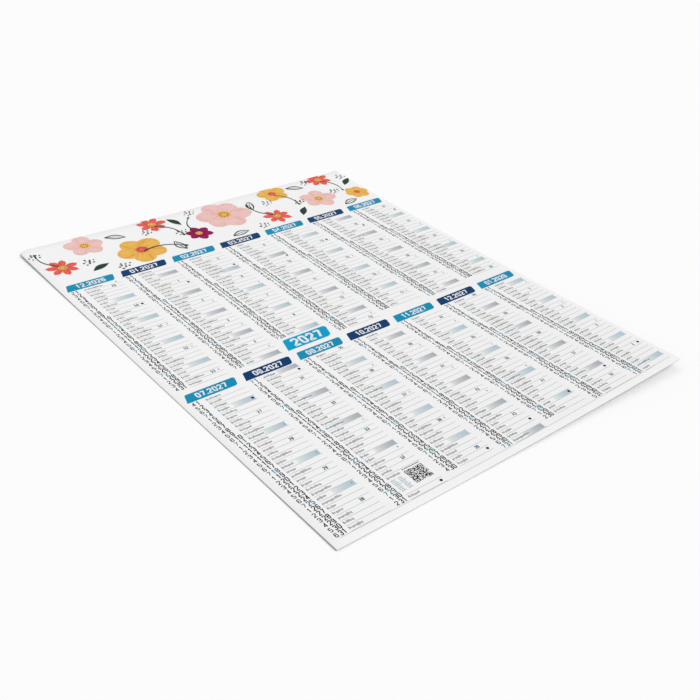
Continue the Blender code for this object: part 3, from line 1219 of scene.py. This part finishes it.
class CALENDAR_OT_rules(Operator):
    """Print the fine line under each day and the line at the foot of the page"""

    bl_idname = "calendar.rules"
    bl_label = "Rules"

    def execute(self, context):
        page = context.scene.calendar_page
        inks = context.scene.calendar_inks
        rule_length = page.tab_width() - RULES_LEFT - RULES_RIGHT_GAP
        rule = add_plate(0, -page.rule_width / 2, rule_length, page.rule_width)
        rules = [
            copy_to(rule, month.left + RULES_LEFT, month.row_top(day + 1))
            for month in all_months()
            for day in month.days_without(PATTERN_DAYS)
        ]
        remove(rule)
        joined = join(rules)
        cut_to_net(joined)
        print_piece(joined, "day_rules", plain_ink("rule", inks.rule), RULE_LIFT)
        foot_left = page.column_left(0)
        foot_right = page.column_left(COLUMNS - 1) + page.tab_width() / 2
        foot_bottom = -context.scene.calendar_board.height / 2 + page.bottom_margin - page.foot_rule_drop
        foot = add_plate(foot_left, foot_bottom, foot_right - foot_left, page.foot_rule_width)
        cut_to_net(foot)
        print_piece(foot, "foot_rule", plain_ink("foot", inks.grey, THIN_COVER), RULE_LIFT)
        return {"FINISHED"}


class CALENDAR_OT_sunday_bars(Operator):
    """Print the tints that fade in at the right of each Sunday"""

    bl_idname = "calendar.sunday_bars"
    bl_label = "Sunday bars"

    def execute(self, context):
        page = context.scene.calendar_page
        inks = context.scene.calendar_inks
        bars = {"pale_blue": [], "pale_violet": []}
        height = page.row_height() * page.bar_height_share
        bar = add_plate(-page.bar_length, -height / 2, page.bar_length, height)
        for month in all_months():
            right = month.left + page.tab_width() - page.bar_inset
            bars["pale_violet" if month.is_odd else "pale_blue"] += [
                copy_to(bar, right, month.row_middle(day))
                for day in month.days_without(PATTERN_DAYS)
                if month.is_sunday(day)
            ]
        remove(bar)
        for ink, plates in bars.items():
            joined = join(plates)
            cut_to_net(joined)
            print_piece(joined, ink + "_bars", fading_ink(ink, getattr(inks, ink)), TINT_LIFT)
        return {"FINISHED"}


class CALENDAR_OT_moons(Operator):
    """Print the moon's phases: a dot, half discs and a ring"""

    bl_idname = "calendar.moons"
    bl_label = "Moons"

    def half_disc(self, radius, side):
        """The half of a disc that lies to the left of the middle, or to the right where side is -1."""
        half = add_disc(0, 0, radius, DISC_SIDES)
        edit_where(half, lambda place: True)
        bpy.ops.mesh.bisect(plane_co=(0, 0, 0), plane_no=(side, 0, 0), clear_outer=True)
        leave_edit()
        return half

    def ring(self, radius, width):
        ring = add_disc(0, 0, radius, DISC_SIDES)
        edit_where(ring, lambda place: True)
        bpy.context.tool_settings.mesh_select_mode = (False, False, True)
        bpy.ops.mesh.select_all(action="SELECT")
        bpy.ops.mesh.inset(thickness=width)
        bpy.ops.mesh.delete(type="FACE")
        leave_edit()
        return ring

    def execute(self, context):
        page = context.scene.calendar_page
        inks = context.scene.calendar_inks
        templates = (
            add_disc(0, 0, page.moon_radius, DISC_SIDES),
            self.half_disc(page.half_moon_radius, -1),
            self.ring(page.half_moon_radius, page.ring_width),
            self.half_disc(page.half_moon_radius, 1),
        )
        phases = moon_phases()
        marks = {"new_moons": [], "other_moons": []}
        for month in all_months():
            for day in range(1, month.days + 1):
                if month.date(day) in phases:
                    phase = phases[month.date(day)]
                    mark = copy_to(templates[phase], month.left + MOONS_LEFT, month.row_middle(day))
                    marks["other_moons" if phase else "new_moons"].append(mark)
        for template in templates:
            remove(template)
        tones = {"new_moons": inks.black, "other_moons": inks.grey}
        for name, copies in marks.items():
            print_piece(join(copies), name, plain_ink(name, tones[name]), PRINT_LIFT)
        return {"FINISHED"}


class CALENDAR_OT_foot(Operator):
    """Print the small square pattern and the small print at the foot of the second column"""

    bl_idname = "calendar.foot"
    bl_label = "Foot"

    def is_dark(self, across, down, cells, chance):
        """Three corners hold a ring round a block. Elsewhere the cells fall by chance."""
        half = cells // 2
        from_side = min(across, cells - 1 - across)
        from_end = min(down, cells - 1 - down)
        is_corner = max(from_side, from_end) < CORNER_CELLS and not (across > half and down > half)
        if is_corner:
            to_side = CORNER_CELLS - 1 - from_side
            to_end = CORNER_CELLS - 1 - from_end
            return min(from_side, to_side, from_end, to_end) != 1
        return chance.random() < DARK_CHANCE

    def execute(self, context):
        page = context.scene.calendar_page
        inks = context.scene.calendar_inks
        month = Month(PATTERN_MONTH)
        chance = random.Random(page.print_seed)
        cells = page.pattern_cells
        left = month.left + PATTERN_LEFT
        line_top = month.row_top(PATTERN_DAYS[0]) - page.pattern_line_drop
        top = month.row_top(PATTERN_DAYS[0]) - page.pattern_drop
        tile = add_plate(0, -page.pattern_cell_height, page.pattern_cell_width, page.pattern_cell_height)
        tiles = [
            copy_to(tile, left + across * page.pattern_cell_width, top - down * page.pattern_cell_height)
            for across in range(cells)
            for down in range(cells)
            if self.is_dark(across, down, cells, chance)
        ]
        remove(tile)
        line_bottom = line_top - page.pattern_line_width
        tiles.append(add_plate(left, line_bottom, cells * page.pattern_cell_width, page.pattern_line_width))
        print_piece(join(tiles), "foot_pattern", plain_ink("pattern", inks.black), PRINT_LIFT)
        words = [add_word(letters, page.small_letter_height, chance) for letters in SMALL_WORDS]
        lines = []
        for line in range(SMALL_LINES):
            middle = month.row_top(SMALL_PRINT_DAYS[0]) - (line + 1 / 2) * page.small_line_step
            for start in SMALL_WORD_STARTS:
                lines.append(copy_to(chance.choice(words), month.left + NAMES_LEFT + start, middle))
        for template in words:
            remove(template)
        print_piece(join(lines), "foot_words", plain_ink("foot_words", inks.pale_blue), PRINT_LIFT)
        return {"FINISHED"}


class CALENDAR_OT_flowers(Operator):
    """Paint the flowers of the top band, a petal at a time"""

    bl_idname = "calendar.flowers"
    bl_label = "Flowers"

    def petal(self, flowers, width_share, tip_share, foot_share):
        """One petal along +X from the page's middle, pinched towards its tip and its foot."""
        length = flowers.radius
        petal = add_disc(length / 2, 0, length / 2, PETAL_SIDES)
        edit_where(petal, lambda place: True)
        bpy.ops.transform.resize(value=(1, width_share, 1), center_override=(0, 0, 0))
        leave_edit()
        for reach in PETAL_TIP_SHARES:
            edit_where(petal, lambda place: place.x > reach * length)
            bpy.ops.transform.resize(value=(1, tip_share, 1), center_override=(0, 0, 0))
            leave_edit()
        for reach in PETAL_FOOT_SHARES:
            edit_where(petal, lambda place: place.x < reach * length)
            bpy.ops.transform.resize(value=(1, foot_share, 1), center_override=(0, 0, 0))
            leave_edit()
        return petal

    def execute(self, context):
        page = context.scene.calendar_page
        inks = context.scene.calendar_inks
        flowers = context.scene.calendar_flowers
        chance = random.Random(flowers.seed)
        templates = {ink: self.petal(flowers, *shares) for ink, shares in PETAL_SHARES.items()}
        heart = add_disc(0, 0, flowers.heart, HEART_SIDES)
        seed = add_disc(0, 0, flowers.heart * SEED_RADIUS_SHARE, SEED_SIDES)
        petals = {}
        hearts = {}
        seeds = []
        for flower, (x_share, y_share, size, count, ink) in enumerate(FLOWER_SHARES):
            centre = page.band_point(x_share, y_share)
            start = chance.uniform(0, math.tau)
            layer = flower % 2 * FLOWER_LAYER_STEPS
            for number in range(count):
                slack = chance.uniform(-PETAL_TURN_SLACK, PETAL_TURN_SLACK)
                turn = start + math.tau * number / count + slack
                reach = size * chance.uniform(*PETAL_SIZE_SHARES)
                copy = copy_to(templates[ink], *centre, turn, reach, (layer + number) * OVERLAP_STEP)
                petals.setdefault(ink, []).append(copy)
            heart_ink = "coral" if ink == "ochre" else "ochre"
            rise = (layer + count) * OVERLAP_STEP
            hearts.setdefault(heart_ink, []).append(copy_to(heart, *centre, start, size, rise))
            ring = flowers.heart * size * SEED_RING_SHARE
            for number in range(SEEDS):
                turn = start + math.tau * number / SEEDS
                place = centre + Vector((math.cos(turn), math.sin(turn))) * ring
                seeds.append(copy_to(seed, *place, 0, size, rise + OVERLAP_STEP))
        for template in (*templates.values(), heart, seed):
            remove(template)
        for ink, copies in petals.items():
            joined = join(copies)
            cut_to_net(joined)
            trim_to_board(joined)
            cover, deep = PAINTS[ink]
            paint = brushed_ink(ink, getattr(inks, ink), deep, cover)
            print_piece(joined, ink + "_petals", paint, PRINT_LIFT)
        for ink, copies in hearts.items():
            joined = join(copies)
            trim_to_board(joined)
            paint = plain_ink(ink + "_heart", getattr(inks, ink))
            print_piece(joined, ink + "_hearts", paint, PRINT_LIFT)
        joined = join(seeds)
        trim_to_board(joined)
        print_piece(joined, "heart_dots", plain_ink("heart_dot", inks.green), PRINT_LIFT)
        return {"FINISHED"}


class CALENDAR_OT_leaves(Operator):
    """Brush the leaves, the stems and the sprays of dots of the top band"""

    bl_idname = "calendar.leaves"
    bl_label = "Leaves"

    def filled_leaf(self, flowers):
        return add_brushed(
            flowers.leaf_length,
            flowers.leaf_width,
            lambda along: max(LEAF_END_WIDTH_SHARE, math.sin(math.pi * along)),
            flowers.leaf_length * LEAF_BOW_SHARE,
        )

    def outlined_leaf(self, flowers):
        """Two brushed rims that meet at the stalk and at the tip, with a midrib between them."""
        bow = flowers.leaf_length * LEAF_BOW_SHARE
        parts = [
            add_brushed(
                flowers.leaf_length,
                flowers.line,
                lambda along: RIM_END_WIDTH_SHARE + RIM_SWELL_SHARE * math.sin(math.pi * along),
                bow + side * flowers.leaf_width / 2,
            )
            for side in (-1, 1)
        ]
        midrib = add_brushed(
            flowers.leaf_length * MIDRIB_LENGTH_SHARE,
            flowers.line,
            lambda along: MIDRIB_START_WIDTH_SHARE - MIDRIB_TAPER_SHARE * along,
            bow,
        )
        return join([*parts, midrib])

    def stem(self, flowers):
        """A stem of size 1, which thins towards a small bud at its tip."""
        reach = flowers.leaf_length
        width = flowers.stem_line
        stalk = add_brushed(
            reach,
            width,
            lambda along: STEM_START_WIDTH_SHARE - STEM_TAPER_SHARE * along,
            reach * STEM_BOW_SHARE,
        )
        bud = add_disc(0, 0, width, BUD_SIDES)
        edit_where(bud, lambda place: True)
        bpy.ops.transform.resize(value=(*BUD_SHARES, 1), center_override=(0, 0, 0))
        bpy.ops.transform.rotate(value=BUD_TURN, orient_axis="Z", center_override=(0, 0, 0))
        bpy.ops.transform.translate(value=(reach, 0, 0))
        leave_edit()
        return join([stalk, bud])

    def execute(self, context):
        page = context.scene.calendar_page
        flowers = context.scene.calendar_flowers
        inks = context.scene.calendar_inks
        chance = random.Random(flowers.seed + 1)
        filled = self.filled_leaf(flowers)
        outlined = self.outlined_leaf(flowers)
        stem = self.stem(flowers)
        fills = []
        lines = []
        for number, (x_share, y_share, degrees) in enumerate(LEAF_SHARES):
            place = page.band_point(x_share, y_share)
            is_filled = number % FILLED_LEAF_EVERY == 0
            copy = copy_to(filled if is_filled else outlined, *place, math.radians(degrees))
            (fills if is_filled else lines).append(copy)
        for x_share, y_share, degrees, size in STEM_SHARES:
            place = page.band_point(x_share, y_share)
            lines.append(copy_to(stem, *place, math.radians(degrees), size))
        for template in (filled, outlined, stem):
            remove(template)
        cover, deep = PAINTS["green"]
        joined = join(fills)
        cut_to_net(joined)
        trim_to_board(joined)
        print_piece(joined, "leaf_fills", brushed_ink("leaf", inks.green, deep, cover), PRINT_LIFT)
        joined = join(lines)
        trim_to_board(joined)
        print_piece(joined, "leaf_lines", plain_ink("leaf_line", inks.green), BRUSH_LIFT)
        dot = add_disc(0, 0, SPRAY_DOT_RADIUS, SPRAY_DOT_SIDES)
        dots = []
        for x_share, y_share in SPRAY_SHARES:
            centre = page.band_point(x_share, y_share)
            for number in range(SPRAY_DOTS):
                turn = number * SPRAY_TURN
                reach = SPRAY_REACH * math.sqrt(number + SPRAY_START) * chance.uniform(*SPRAY_REACH_SHARES)
                place = centre + Vector((math.cos(turn), math.sin(turn) * SPRAY_SQUASH_SHARE)) * reach
                dots.append(copy_to(dot, *place, 0, chance.uniform(*SPRAY_DOT_SIZE_SHARES)))
        remove(dot)
        joined = join(dots)
        trim_to_board(joined)
        print_piece(joined, "dot_sprays", plain_ink("spray", inks.black), BRUSH_LIFT)
        return {"FINISHED"}


class CALENDAR_OT_stage(Operator):
    """Set the floor, the lamps and the camera"""

    bl_idname = "calendar.stage"
    bl_label = "Stage"

    def add_floor(self):
        deselect()
        bpy.ops.mesh.primitive_plane_add(size=FLOOR_SIDE, location=(0, 0, 0))
        floor = bpy.context.object
        floor.name = "floor"
        floor.data.materials.append(floor_finish())

    def add_lamps(self, scene):
        stage = scene.calendar_stage
        world = bpy.data.worlds.new("soft_room")
        world.use_nodes = True
        sky = Nodes(world.node_tree)
        light = sky.add("ShaderNodeBackground", {}, {"Color": (1, 1, 1, 1), "Strength": stage.room})
        backdrop = sky.add("ShaderNodeBackground", {}, {"Color": (*stage.floor, 1)})
        either = sky.add("ShaderNodeMixShader", {}, {0: sky.is_seen(), 1: light, 2: backdrop})
        sky.feed(world.node_tree.nodes["World Output"].inputs["Surface"], either)
        scene.world = world
        for name in ("key", "fill"):
            azimuth = getattr(stage, name + "_azimuth")
            elevation = getattr(stage, name + "_elevation")
            turned = (math.pi / 2 - elevation, 0, math.pi - azimuth)
            bpy.ops.object.light_add(type="SUN", rotation=turned)
            lamp = bpy.context.object
            lamp.name = name
            lamp.data.energy = getattr(stage, name)
            lamp.data.angle = stage.softness

    def add_camera(self, scene):
        stage = scene.calendar_stage
        back = Vector((
            math.sin(stage.azimuth) * math.cos(stage.elevation),
            -math.cos(stage.azimuth) * math.cos(stage.elevation),
            math.sin(stage.elevation),
        ))
        aim = Vector((stage.aim_x, stage.aim_y, 0))
        level = (-back).cross(Vector((0, 0, 1))).normalized()
        down = (-back).cross(level)
        right = math.cos(stage.roll) * level + math.sin(stage.roll) * down
        up = back.cross(right)
        turned = Matrix((right, up, back)).transposed()
        bpy.ops.object.camera_add(location=aim + back * stage.distance, rotation=turned.to_euler())
        camera = bpy.context.object
        camera.name = "camera"
        camera.data.lens = stage.lens
        camera.data.shift_x = stage.shift_x
        camera.data.shift_y = stage.shift_y
        camera.data.clip_start = CLIP_START
        scene.camera = camera

    def execute(self, context):
        scene = context.scene
        self.add_floor()
        self.add_lamps(scene)
        self.add_camera(scene)
        scene.view_settings.view_transform = "Standard"
        return {"FINISHED"}


class CALENDAR_PT_sidebar(Panel):
    """Lists the calendar's pieces and their sizes"""

    bl_idname = "CALENDAR_PT_sidebar"
    bl_label = "Wall calendar"
    bl_space_type = "VIEW_3D"
    bl_region_type = "UI"
    bl_category = "Calendar"

    def draw(self, context):
        for operator in OPERATORS:
            self.layout.operator(operator.bl_idname)
        for name in GROUPS:
            box = self.layout.box()
            settings = getattr(context.scene, name)
            for key in settings.__annotations__:
                box.prop(settings, key)


GROUPS = {
    "calendar_board": CALENDAR_PG_board,
    "calendar_page": CALENDAR_PG_page,
    "calendar_inks": CALENDAR_PG_inks,
    "calendar_flowers": CALENDAR_PG_flowers,
    "calendar_stage": CALENDAR_PG_stage,
}
OPERATORS = (
    CALENDAR_OT_board,
    CALENDAR_OT_sunday_bars,
    CALENDAR_OT_rules,
    CALENDAR_OT_tabs,
    CALENDAR_OT_tab_figures,
    CALENDAR_OT_day_figures,
    CALENDAR_OT_day_words,
    CALENDAR_OT_moons,
    CALENDAR_OT_foot,
    CALENDAR_OT_flowers,
    CALENDAR_OT_leaves,
    CALENDAR_OT_stage,
)


def register():
    for kind in (*GROUPS.values(), *OPERATORS, CALENDAR_PT_sidebar):
        bpy.utils.register_class(kind)
    for name, group in GROUPS.items():
        setattr(bpy.types.Scene, name, PointerProperty(type=group))


def unregister():
    for name in GROUPS:
        delattr(bpy.types.Scene, name)
    for kind in reversed((*GROUPS.values(), *OPERATORS, CALENDAR_PT_sidebar)):
        bpy.utils.unregister_class(kind)


def main():
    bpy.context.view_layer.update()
    register()
    for operator in OPERATORS:
        group, name = operator.bl_idname.split(".")
        getattr(getattr(bpy.ops, group), name)()


if __name__ == "__main__":
    main()
